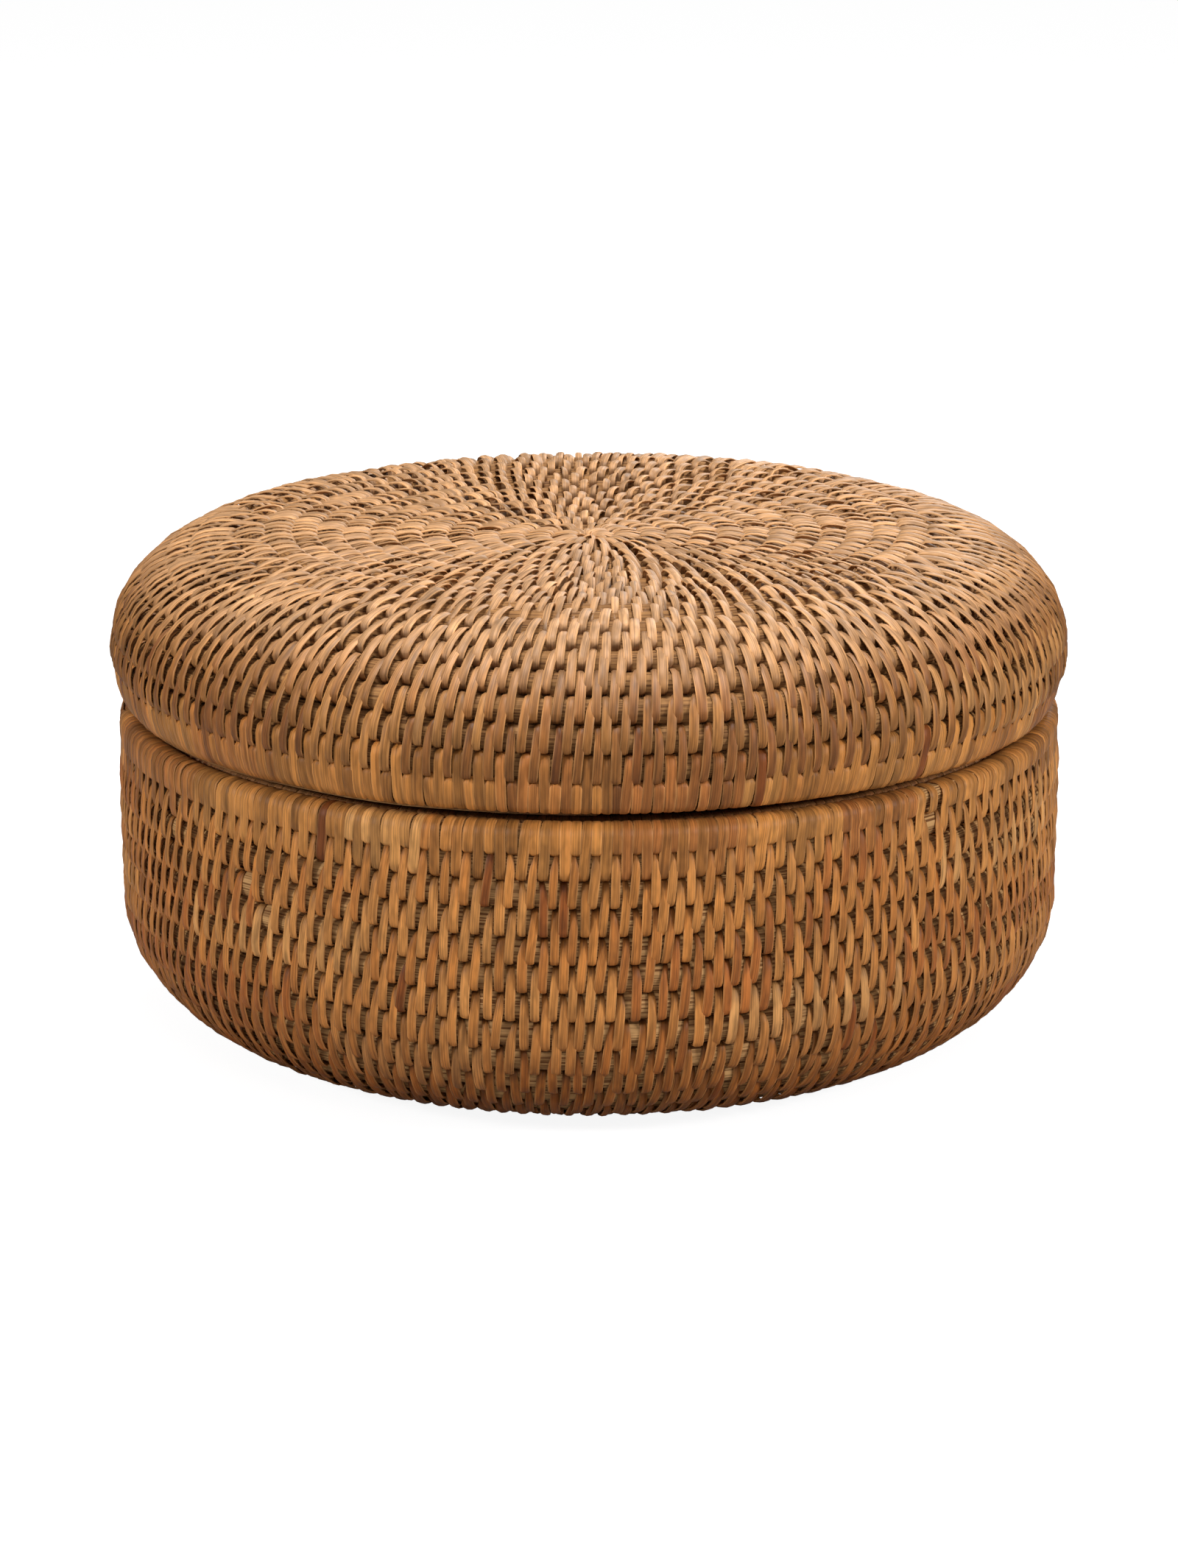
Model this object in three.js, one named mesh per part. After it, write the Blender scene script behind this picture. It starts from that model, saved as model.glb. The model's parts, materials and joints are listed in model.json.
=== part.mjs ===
// Round basket of coiled rattan with a lift-off lid, in millimetres, +Z up.
// It stands on z = 0 with its axis on Z. The body and the lid are each one long
// coil of cane, made of lengths spliced end to end and sewn row to row with
// split strips. A cane here is drawn with its strips on, so its section is the
// bound row. The rim rows are bare cane inside a close wrapping of their own.
import * as THREE from 'three';

// Body, outside sizes
const bodyRadius = 148.2;
const baseRadius = 87.8;
const bendHeight = 46.4;
const rimHeight = 104.7;
const bendPower = 2.08;

// Lid, outside sizes: its mouth lies inside the body's rim by the set-back, its
// belly swells beyond its mouth, and its shoulder runs in from the belly to the crest
const lidSetBack = 2.7;
const lidSwell = 4.5;
const lidBellyRise = 17.5;
const lidShoulderWidth = 52.2;
const lidShoulderRise = 36.7;
const lidDish = 3.2;
const lidShoulderPower = 2.28;
const lidTuckPower = 2;

// Coils and strips
const bodyRowPitch = 8.6;
const lidRowPitch = 8.15;
const rowGap = 0.55;
const wallThickness = 9.2;
const stripThickness = 0.9;
const firstTurnRadius = 4.7;
const spliceGap = 0.5;
const fitGap = 0.3;
const flatShare = 0.5;

// Rims, where the last row thins out so that the edge runs level
const bodyLeastWrap = 3.5;
const lidLeastWrap = 5;
const tailHeight = 1.3;
const rimRounding = 1.1;
const bodyJoinAngle = THREE.MathUtils.degToRad(128);

// Collar inside the mouth, two hoops that the lid fits over
const hoopWidth = 7;
const hoopHeight = 7.4;
const hoopGap = 0.4;
const lidPlay = 1.5;

// Mesh fineness: the steps in one turn, halved inside fineRadius
const stepsPerTurn = 24;
const outlineSteps = 60;
const legSteps = 3;
const fineRadius = 40;
const stepAngle = 2 * Math.PI / stepsPerTurn;

const halfWall = wallThickness / 2;
const lidMouthRadius = bodyRadius - lidSetBack;
const lidRadius = lidMouthRadius + lidSwell;
const lidCrestRadius = lidRadius - lidShoulderWidth;
const lidBottom = rimHeight + fitGap;
const lidBellyHeight = lidBottom + lidBellyRise;
const lidCrestHeight = lidBellyHeight + lidShoulderRise;

// Points of a quarter of a superellipse, from share 0 on its first axis to 1 on its second
function quarter(power, place) {
  const points = [];
  for (let i = 1; i <= outlineSteps; i += 1) {
    const angle = Math.PI / 2 * i / outlineSteps;
    points.push(place(Math.sin(angle) ** (2 / power), Math.cos(angle) ** (2 / power)));
  }
  return points;
}

// Outside outline of the body, from the middle of the base to the rim
function bodyOutline() {
  const bendWidth = bodyRadius - baseRadius;
  const points = [];
  for (let i = 0; i <= outlineSteps; i += 1) {
    points.push(new THREE.Vector2(baseRadius * i / outlineSteps, 0));
  }
  points.push(...quarter(bendPower, (out, up) => new THREE.Vector2(
    baseRadius + bendWidth * out, bendHeight * (1 - up))));
  points.push(new THREE.Vector2(bodyRadius, rimHeight));
  return points;
}

// Outside outline of the lid, from the middle of its top to its lower edge
function lidOutline() {
  const points = [];
  for (let i = 0; i <= outlineSteps; i += 1) {
    const share = i / outlineSteps;
    const sink = lidDish * (1 - share ** 2);
    points.push(new THREE.Vector2(lidCrestRadius * share, lidCrestHeight - sink));
  }
  points.push(...quarter(lidShoulderPower, (out, up) => new THREE.Vector2(
    lidCrestRadius + lidShoulderWidth * out, lidBellyHeight + lidShoulderRise * up)));
  for (let i = 1; i <= outlineSteps; i += 1) {
    const share = i / outlineSteps;
    const radius = lidRadius - lidSwell * share ** lidTuckPower;
    points.push(new THREE.Vector2(radius, lidBellyHeight - lidBellyRise * share));
  }
  return points;
}

// Middle line of a wall, half its thickness inside an outline. side is 1 where
// the outline runs outwards under the wall and -1 where it runs over it.
function middleLine(outline, side) {
  const last = outline.length - 1;
  const points = outline.map((point, i) => {
    const along = outline[Math.min(i + 1, last)].clone().sub(outline[Math.max(i - 1, 0)]).normalize();
    return new THREE.Vector2(point.x - side * along.y * halfWall, point.y + side * along.x * halfWall);
  });
  points[0].x = 0;
  const lengths = [0];
  for (let i = 1; i <= last; i += 1) {
    lengths.push(lengths[i - 1] + points[i].distanceTo(points[i - 1]));
  }
  return { points, lengths, side, total: lengths[last] };
}

// Place on a middle line at a length along it, with its outward normal
function placeOn(line, length) {
  const { points, lengths, side } = line;
  let i = 1;
  while (i < lengths.length - 1 && lengths[i] < length) i += 1;
  const along = points[i].clone().sub(points[i - 1]).normalize();
  const at = points[i - 1].clone().addScaledVector(along, length - lengths[i - 1]);
  return { at, out: new THREE.Vector2(side * along.y, -side * along.x) };
}

// A section's points in the upright plane at one angle round the axis: each one
// its rise further along the line and its depth out from it
function ringAt(line, length, angle, section) {
  return section.map(([rise, depth]) => {
    const { at, out } = placeOn(line, length + rise);
    const radius = at.x + out.x * depth;
    return new THREE.Vector3(radius * Math.cos(angle), radius * Math.sin(angle), at.y + out.y * depth);
  });
}

// Six-sided section of a row, flat on its two faces and narrow at its neighbours
function rowSection(halfHeight, halfDepth) {
  const flat = halfHeight * flatShare;
  return [[halfHeight, 0], [flat, halfDepth], [-flat, halfDepth],
    [-halfHeight, 0], [-flat, -halfDepth], [flat, -halfDepth]];
}

// Section of the rim wrapping: a cap over the rim row, open towards the rows
// below, with steps down its legs so that they follow the wall's curve
function capSection(halfHeight) {
  const inner = halfWall - stripThickness;
  const top = halfHeight;
  const under = top - stripThickness;
  const shoulder = top - rimRounding;
  const leg = (from, to, depth) => {
    const points = [];
    for (let i = 0; i <= legSteps; i += 1) points.push([from + (to - from) * i / legSteps, depth]);
    return points;
  };
  return [...leg(-top, under, inner), ...leg(under, -top, -inner), ...leg(-top, shoulder, -halfWall),
    [top, rimRounding - halfWall], [top, halfWall - rimRounding], ...leg(shoulder, -top, halfWall)];
}

// Volume inside a closed set of triangles, negative where they face inwards
function signedVolume(points, faces) {
  let volume = 0;
  for (let i = 0; i < faces.length; i += 3) {
    const [a, b, c] = [points[faces[i]], points[faces[i + 1]], points[faces[i + 2]]];
    volume += a.dot(b.clone().cross(c)) / 6;
  }
  return volume;
}

// One closed body skinned over a run of rings, with its two ends closed
function skin(rings, section) {
  const sides = section.length;
  const points = rings.flat();
  const faces = [];
  for (let i = 0; i < rings.length - 1; i += 1) {
    for (let j = 0; j < sides; j += 1) {
      const near = i * sides + j;
      const nearNext = i * sides + (j + 1) % sides;
      faces.push(near, nearNext, near + sides, nearNext, nearNext + sides, near + sides);
    }
  }
  const outline = section.map(([rise, depth]) => new THREE.Vector2(rise, depth));
  const end = (rings.length - 1) * sides;
  const cap = THREE.ShapeUtils.triangulateShape(outline, []);
  const turned = THREE.ShapeUtils.area(outline) > 0;
  for (const [a, b, c] of cap) {
    const [first, second] = turned ? [b, c] : [c, b];
    faces.push(a, second, first, end + a, end + first, end + second);
  }
  if (signedVolume(points, faces) < 0) faces.reverse();
  const geometry = new THREE.BufferGeometry();
  geometry.setFromPoints(points);
  geometry.setIndex(faces);
  geometry.computeVertexNormals();
  return geometry;
}

// A ring between two others, a given length from the first
function ringBetween(ring, next, length) {
  const share = length / ring[0].distanceTo(next[0]);
  return ring.map((point, i) => point.clone().lerp(next[i], share));
}

// The spiral that a coil follows on a middle line. Steps count up to where the
// wrapping of the rim ends, leastWrap below the edge, at the join's angle.
function makeSpiral(line, rowPitch, leastWrap, joinAngle) {
  const endLength = line.total - leastWrap + rowPitch / 2;
  const steps = Math.round((endLength - firstTurnRadius) / rowPitch * stepsPerTurn);
  return {
    line,
    steps,
    halfRow: (rowPitch - rowGap) / 2,
    lengthAt: (step) => endLength - rowPitch * (steps - step) / stepsPerTurn,
    angleAt: (step) => joinAngle + (step - steps) * stepAngle,
  };
}

// Rings of bound row between two steps, coarser near the middle of the coil
function rowRings(spiral, from, to) {
  const section = rowSection(spiral.halfRow, halfWall);
  const rings = [];
  for (let step = from; step <= to; step += 1) {
    const length = spiral.lengthAt(step);
    const coarse = step % 2 === 1 && placeOn(spiral.line, length).at.x < fineRadius;
    if (!coarse || step === to) rings.push(ringAt(spiral.line, length, spiral.angleAt(step), section));
  }
  return rings;
}

// Draws back both ends of a run of rings by half a splice gap
function trimEnds(rings) {
  const last = rings.length - 1;
  const first = ringBetween(rings[0], rings[1], spliceGap / 2);
  const final = ringBetween(rings[last], rings[last - 1], spliceGap / 2);
  return [first, ...rings.slice(1, last), final];
}

// Steps at which a coil is spliced, so that its canes are equally long
function spliceSteps(spiral, count, lastStep) {
  const lengths = [0];
  for (let step = 1; step <= lastStep; step += 1) {
    lengths.push(lengths[step - 1] + placeOn(spiral.line, spiral.lengthAt(step)).at.x * stepAngle);
  }
  const splices = [0];
  for (let i = 1; i < count; i += 1) {
    splices.push(lengths.findIndex((length) => length >= lengths[lastStep] * i / count));
  }
  splices.push(lastStep);
  return splices;
}

// Least distance between the points of one turn of a cane and those of its next turn
function leastGap(rings) {
  let least = Infinity;
  for (let i = stepsPerTurn; i < rings.length; i += 1) {
    for (const point of rings[i]) {
      for (const other of rings[i - stepsPerTurn]) least = Math.min(least, point.distanceTo(other));
    }
  }
  return least;
}

// Rings of the bare rim cane. Its last turn thins under the level edge, and its
// tail runs on over its own first stretch.
function rimCaneRings(spiral) {
  const edge = spiral.line.total - stripThickness - fitGap;
  const halfDepth = halfWall - stripThickness - fitGap;
  const rings = [];
  for (let step = spiral.steps - stepsPerTurn; ; step += 1) {
    const low = spiral.lengthAt(step) - spiral.halfRow;
    const high = Math.min(low + 2 * spiral.halfRow, edge);
    if (high - low < tailHeight) break;
    const section = rowSection((high - low) / 2, halfDepth);
    rings.push(ringAt(spiral.line, (low + high) / 2, spiral.angleAt(step), section));
  }
  return rings;
}

// Rings of the wrapping over the rim cane, one whole turn with its edge level
function wrapRings(spiral) {
  const rings = [];
  for (let step = spiral.steps - stepsPerTurn; step <= spiral.steps; step += 1) {
    const low = spiral.lengthAt(step) - spiral.halfRow;
    const high = spiral.line.total;
    const section = capSection((high - low) / 2);
    rings.push(ringAt(spiral.line, (low + high) / 2, spiral.angleAt(step), section));
  }
  return rings;
}

// Finishes of the bound rows, the wrapped rims and the hoops
const caneFinish = { color: 0xa8713c, roughness: 0.62, metalness: 0 };
const topFinish = { color: 0xc49a68, roughness: 0.6, metalness: 0 };
const wrapFinish = { color: 0x9c6535, roughness: 0.58, metalness: 0 };
const hoopFinish = { color: 0x8f5f36, roughness: 0.65, metalness: 0 };

const basket = new THREE.Group();

// Adds one named piece to the basket
function addPiece(name, geometry, finish) {
  const piece = new THREE.Mesh(geometry, new THREE.MeshStandardMaterial(finish));
  piece.name = name;
  basket.add(piece);
  return piece;
}

// Adds a coil: its canes one after the other, then its rim cane and wrapping
function addCoil(spiral, canes, rimName, wrapName) {
  const rimStart = spiral.steps - stepsPerTurn;
  const splices = spliceSteps(spiral, canes.length, rimStart);
  const section = rowSection(spiral.halfRow, halfWall);
  canes.forEach(([name, finish], i) => {
    const rings = rowRings(spiral, splices[i], splices[i + 1]);
    console.log(`${name}: least gap between its turns ${leastGap(rings).toFixed(2)} mm`);
    addPiece(name, skin(trimEnds(rings), section), finish);
  });
  const rimRings = rimCaneRings(spiral);
  console.log(`${rimName}: least gap between its turns ${leastGap(rimRings).toFixed(2)} mm`);
  addPiece(rimName, skin(trimEnds(rimRings), section), caneFinish);
  addPiece(wrapName, skin(trimEnds(wrapRings(spiral)), capSection(spiral.halfRow)), wrapFinish);
}

// Adds a hoop of cane, its ends scarfed together, flat above and below, with
// facets in line with the body's
function addHoop(name, outerRadius, bottom) {
  const middle = outerRadius - hoopWidth / 2;
  const height = bottom + hoopHeight / 2;
  const profile = rowSection(hoopWidth / 2, hoopHeight / 2).map(
    ([across, up]) => new THREE.Vector2(middle + across, height + up));
  profile.push(profile[0].clone());
  const geometry = new THREE.LatheGeometry(profile, stepsPerTurn);
  geometry.rotateX(Math.PI / 2);
  geometry.rotateZ(bodyJoinAngle);
  addPiece(name, geometry, hoopFinish);
}

// The body's coil, from the middle of the base to the rim
const bodyLine = middleLine(bodyOutline(), 1);
addCoil(makeSpiral(bodyLine, bodyRowPitch, bodyLeastWrap, bodyJoinAngle), [
  ['base_cane_inner', caneFinish],
  ['base_cane_outer', caneFinish],
  ['bend_cane_lower', caneFinish],
  ['bend_cane_middle', caneFinish],
  ['bend_cane_upper', caneFinish],
  ['wall_cane_lower', caneFinish],
  ['wall_cane_middle', caneFinish],
  ['wall_cane_upper', caneFinish],
], 'rim_cane', 'rim_wrapping');

// The collar: the lower hoop lies against the wall inside the rim, and the
// upper one stands on it, out of the mouth, with play all round in the lid
const wallInside = bodyRadius - wallThickness;
const lidMouthInside = lidMouthRadius - wallThickness;
const upperHoopBottom = rimHeight - fitGap;
addHoop('collar_hoop_lower', wallInside - fitGap, upperHoopBottom - hoopGap - hoopHeight);
addHoop('collar_hoop_upper', lidMouthInside - lidPlay, upperHoopBottom);

// The lid's coil, from the middle of its top down to its lower edge
const lidLine = middleLine(lidOutline(), -1);
addCoil(makeSpiral(lidLine, lidRowPitch, lidLeastWrap, bodyJoinAngle + stepAngle), [
  ['lid_top_cane_inner', topFinish],
  ['lid_top_cane_outer', topFinish],
  ['lid_shoulder_cane_upper', topFinish],
  ['lid_shoulder_cane_middle', topFinish],
  ['lid_shoulder_cane_lower', caneFinish],
  ['lid_side_cane', caneFinish],
], 'lid_rim_cane', 'lid_rim_wrapping');

export default basket;
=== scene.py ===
import json
import math

import bpy
import numpy as np
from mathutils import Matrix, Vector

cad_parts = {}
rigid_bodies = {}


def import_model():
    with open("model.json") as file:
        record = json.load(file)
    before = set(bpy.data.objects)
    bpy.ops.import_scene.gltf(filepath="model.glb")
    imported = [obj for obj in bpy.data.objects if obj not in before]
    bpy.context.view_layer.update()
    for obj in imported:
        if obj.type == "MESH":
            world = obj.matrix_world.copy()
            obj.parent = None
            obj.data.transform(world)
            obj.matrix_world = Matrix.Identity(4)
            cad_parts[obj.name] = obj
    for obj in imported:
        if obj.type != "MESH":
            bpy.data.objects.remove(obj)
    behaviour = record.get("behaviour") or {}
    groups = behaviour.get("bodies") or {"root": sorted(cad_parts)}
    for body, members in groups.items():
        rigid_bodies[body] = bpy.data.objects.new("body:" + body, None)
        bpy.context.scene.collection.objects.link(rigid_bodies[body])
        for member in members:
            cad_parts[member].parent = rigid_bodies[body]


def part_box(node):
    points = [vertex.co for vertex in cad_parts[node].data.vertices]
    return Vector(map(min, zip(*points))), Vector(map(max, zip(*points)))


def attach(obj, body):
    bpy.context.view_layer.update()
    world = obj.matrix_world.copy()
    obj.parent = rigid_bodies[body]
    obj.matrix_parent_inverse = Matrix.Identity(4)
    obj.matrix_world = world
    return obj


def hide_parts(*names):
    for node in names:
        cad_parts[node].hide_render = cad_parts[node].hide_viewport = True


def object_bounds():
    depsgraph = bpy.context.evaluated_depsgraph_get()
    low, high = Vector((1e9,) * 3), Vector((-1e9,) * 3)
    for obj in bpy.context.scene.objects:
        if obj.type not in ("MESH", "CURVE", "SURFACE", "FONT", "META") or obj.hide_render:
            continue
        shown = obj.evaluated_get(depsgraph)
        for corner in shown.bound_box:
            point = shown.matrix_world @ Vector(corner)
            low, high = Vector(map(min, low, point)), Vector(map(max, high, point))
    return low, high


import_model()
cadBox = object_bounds()
mm = 0.001
turn = 2 * math.pi
print("frame loaded")


# Shapes that the canes follow, the same as the solids'

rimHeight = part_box("rim_wrapping")[1].z
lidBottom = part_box("lid_rim_wrapping")[0].z
crestHeight = cadBox[1].z

bodyShape = {
    "radius": 148.2 * mm,
    "baseRadius": 87.8 * mm,
    "bendHeight": 46.4 * mm,
    "bendPower": 2.08,
    "rowPitch": 8.6 * mm,
    "leastWrap": 3.5 * mm,  # the rim's height over its last row, where it is lowest
}
lidShape = {
    "setBack": 2.7 * mm,  # the lid's mouth inside the body's rim
    "swell": 4.5 * mm,  # its belly beyond its mouth
    "bellyRise": 17.5 * mm,
    "shoulderWidth": 52.2 * mm,
    "dish": 3.2 * mm,
    "shoulderPower": 2.28,
    "rowPitch": 8.15 * mm,
    "leastWrap": 5 * mm,
}
coilShape = {
    "wallThickness": 9.2 * mm,
    "stripThickness": 0.9 * mm,  # room that a strip takes up over a cane
    "firstTurnRadius": 4.7 * mm,
    "joinAngle": math.radians(128),
    "stepsPerTurn": 24,
    "overRim": 12 * mm,  # the wall's line runs on past its edge, for strips that cross it
    "outlineSteps": 60,
    "unevenness": 1.2 * mm,
    "waveScale": 22,  # waves of the unevenness to a metre
    "unevenFrom": 30 * mm,  # height at which the unevenness has come in fully
    "pressedBelow": 12 * mm,
    "pressedDepth": 0.82,  # share of their depth that canes and strips keep on the floor
}
halfWall = coilShape["wallThickness"] / 2
halfStrip = coilShape["stripThickness"] / 2
stepAngle = turn / coilShape["stepsPerTurn"]


def quarterRound(power):
    bend = np.linspace(0, math.pi / 2, coilShape["outlineSteps"] + 1)[1:]
    return np.sin(bend) ** (2 / power), np.abs(np.cos(bend)) ** (2 / power)


def bodyOutline():
    steps = coilShape["outlineSteps"]
    out, up = quarterRound(bodyShape["bendPower"])
    base, radius = bodyShape["baseRadius"], bodyShape["radius"]
    flat = np.column_stack((np.linspace(0, base, steps + 1), np.zeros(steps + 1)))
    bend = np.column_stack((base + (radius - base) * out, bodyShape["bendHeight"] * (1 - up)))
    return np.vstack((flat, bend, [(radius, rimHeight)]))


def lidOutline():
    share = np.linspace(0, 1, coilShape["outlineSteps"] + 1)
    mouth = bodyShape["radius"] - lidShape["setBack"]
    radius = mouth + lidShape["swell"]
    crest = radius - lidShape["shoulderWidth"]
    belly = lidBottom + lidShape["bellyRise"]
    out, up = quarterRound(lidShape["shoulderPower"])
    top = np.column_stack((crest * share, crestHeight - lidShape["dish"] * (1 - share ** 2)))
    shoulder = np.column_stack((crest + (radius - crest) * out, belly + (crestHeight - belly) * up))
    side = np.column_stack((radius - lidShape["swell"] * share ** 2, belly - lidShape["bellyRise"] * share))
    return np.vstack((top, shoulder, side[1:]))


# Middle line of a wall, half its thickness inside an outline; side is 1 for the
# body, whose outline runs out under its wall, and -1 for the lid
def middleLine(outline, side):
    along = np.vstack((outline[1:], outline[-1:])) - np.vstack((outline[:1], outline[:-1]))
    along /= np.linalg.norm(along, axis=1, keepdims=True)
    line = outline + side * halfWall * np.column_stack((-along[:, 1], along[:, 0]))
    line[0, 0] = 0
    lengths = np.concatenate(([0], np.cumsum(np.linalg.norm(np.diff(line, axis=0), axis=1))))
    return line, lengths


def addObject(name, mesh, collection=None):
    made = bpy.data.objects.new(name, mesh)
    (collection or bpy.context.scene.collection).objects.link(made)
    return made


def addLine(name, points):
    mesh = bpy.data.meshes.new(name)
    mesh.from_pydata(points, [(i, i + 1) for i in range(len(points) - 1)], [])
    return addObject(name, mesh)


def makeCoil(name, outline, side, shape, joinAngle):
    line, lengths = middleLine(outline, side)
    pitch = shape["rowPitch"]
    endLength = lengths[-1] - shape["leastWrap"] + pitch / 2
    steps = round((endLength - coilShape["firstTurnRadius"]) / pitch * coilShape["stepsPerTurn"])
    total = steps * stepAngle
    last = line[-1] + (line[-1] - line[-2]) / np.linalg.norm(line[-1] - line[-2]) * coilShape["overRim"]
    return {
        "name": name,
        "side": side,
        "line": line,
        "lengths": lengths,
        "edge": float(lengths[-1]),
        "rowPitch": pitch,
        "total": total,  # angle that the coil turns through, up to where the rim's wrapping ends
        "startLength": float(endLength - pitch * total / turn),
        "startAngle": joinAngle - total,
        "wall": addLine(name + "Wall", [(r, 0, z) for r, z in (*line, last)]),
    }


def lengthAt(coil, wound):
    return coil["startLength"] + coil["rowPitch"] * np.asarray(wound) / turn


def radiusAt(coil, wound):
    return np.interp(lengthAt(coil, wound), coil["lengths"], coil["line"][:, 0])


bodyCoil = makeCoil("body", bodyOutline(), 1, bodyShape, coilShape["joinAngle"])
lidCoil = makeCoil("lid", lidOutline(), -1, lidShape, coilShape["joinAngle"] + stepAngle)
print("coils laid out:", *(round(coil["total"] / turn, 2) for coil in (bodyCoil, lidCoil)), "turns")


# Nodes

def addNode(tree, kind, links=None, **settings):
    node = tree.nodes.new(kind)
    for key, value in settings.items():
        setattr(node, key, value)
    for key, value in (links or {}).items():
        if isinstance(value, bpy.types.Node):
            value = value.outputs[0]
        if isinstance(value, bpy.types.NodeSocket):
            tree.links.new(value, node.inputs[key])
        else:
            node.inputs[key].default_value = value
    return node


def addMath(tree, operation, *values):
    return addNode(tree, "ShaderNodeMath", dict(enumerate(values)), operation=operation)


def newTree(name, inputs, outputs):
    tree = bpy.data.node_groups.new(name, "GeometryNodeTree")
    for label, kind in inputs.items():
        tree.interface.new_socket(label, in_out="INPUT", socket_type="NodeSocket" + kind)
    for label, kind in outputs.items():
        tree.interface.new_socket(label, in_out="OUTPUT", socket_type="NodeSocket" + kind)
    return tree, addNode(tree, "NodeGroupInput").outputs, addNode(tree, "NodeGroupOutput").inputs


# Where a point of the flat, unrolled wall lies on the round one
def wallTree():
    tree, given, result = newTree(
        "onWall",
        {"Wall": "Object", "Side": "Float", "Angle": "Float", "Length": "Float",
         "Depth": "Float", "Across": "Float", "Unevenness": "Float"},
        {"Position": "Vector"})
    wall = addNode(tree, "GeometryNodeObjectInfo", {"Object": given["Wall"]})
    curve = addNode(tree, "GeometryNodeMeshToCurve", {"Mesh": wall.outputs["Geometry"]})
    sample = addNode(tree, "GeometryNodeSampleCurve", {"Curves": curve, "Length": given["Length"]},
                     mode="LENGTH")
    at = addNode(tree, "ShaderNodeSeparateXYZ", {0: sample.outputs["Position"]}).outputs
    along = addNode(tree, "ShaderNodeSeparateXYZ", {0: sample.outputs["Tangent"]}).outputs
    cosine = addMath(tree, "COSINE", given["Angle"])
    sine = addMath(tree, "SINE", given["Angle"])
    outward = addMath(tree, "MULTIPLY", along["Z"], given["Side"])
    inverse = addMath(tree, "MULTIPLY", given["Side"], -1)
    upward = addMath(tree, "MULTIPLY", along["X"], inverse)
    middleX = addMath(tree, "MULTIPLY", at["X"], cosine)
    middleY = addMath(tree, "MULTIPLY", at["X"], sine)
    middle = addNode(tree, "ShaderNodeCombineXYZ", {0: middleX, 1: middleY, 2: at["Z"]})
    wave = addNode(tree, "ShaderNodeTexNoise",
                   {"Vector": middle, "Scale": coilShape["waveScale"], "Detail": 1})
    swing = addMath(tree, "SUBTRACT", wave, 0.5)
    # The base is even, and pressed flatter by the floor
    uneven = addNode(tree, "ShaderNodeMapRange",
                     {"Value": at["Z"], 1: halfWall, 2: coilShape["unevenFrom"], 3: 0, 4: 1})
    pressed = addNode(tree, "ShaderNodeMapRange",
                      {"Value": at["Z"], 1: halfWall, 2: coilShape["pressedBelow"],
                       3: coilShape["pressedDepth"], 4: 1})
    amount = addMath(tree, "MULTIPLY", given["Unevenness"], uneven)
    flatter = addMath(tree, "MULTIPLY", given["Depth"], pressed)
    depth = addMath(tree, "MULTIPLY_ADD", swing, amount, flatter)
    radius = addMath(tree, "MULTIPLY_ADD", outward, depth, at["X"])
    height = addMath(tree, "MULTIPLY_ADD", upward, depth, at["Z"])
    across = addMath(tree, "MULTIPLY", given["Across"], given["Side"])
    back = addMath(tree, "MULTIPLY", across, -1)
    radial = addNode(tree, "ShaderNodeCombineXYZ", {0: radius, 1: back})
    crossing = addNode(tree, "ShaderNodeCombineXYZ", {0: across, 1: radius})
    facing = addNode(tree, "ShaderNodeCombineXYZ", {0: cosine, 1: sine})
    x = addNode(tree, "ShaderNodeVectorMath", {0: radial, 1: facing}, operation="DOT_PRODUCT")
    y = addNode(tree, "ShaderNodeVectorMath", {0: crossing, 1: facing}, operation="DOT_PRODUCT")
    placed = addNode(tree, "ShaderNodeCombineXYZ", {0: x.outputs["Value"], 1: y.outputs["Value"], 2: height})
    tree.links.new(placed.outputs[0], result["Position"])
    return tree


# Bends flat geometry onto the wall and gives it its material
def layOnWall(tree, onWall, given, geometry, places, result):
    place = addNode(tree, "GeometryNodeGroup",
                    {"Wall": given["Wall"], "Side": given["Side"],
                     "Unevenness": given["Unevenness"], **places}, node_tree=onWall)
    laid = addNode(tree, "GeometryNodeSetPosition", {"Geometry": geometry, "Position": place})
    laid = addNode(tree, "GeometryNodeSetShadeSmooth", {"Geometry": laid})
    laid = addNode(tree, "GeometryNodeSetMaterial", {"Geometry": laid, "Material": given["Material"]})
    tree.links.new(laid.outputs[0], result)


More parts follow.
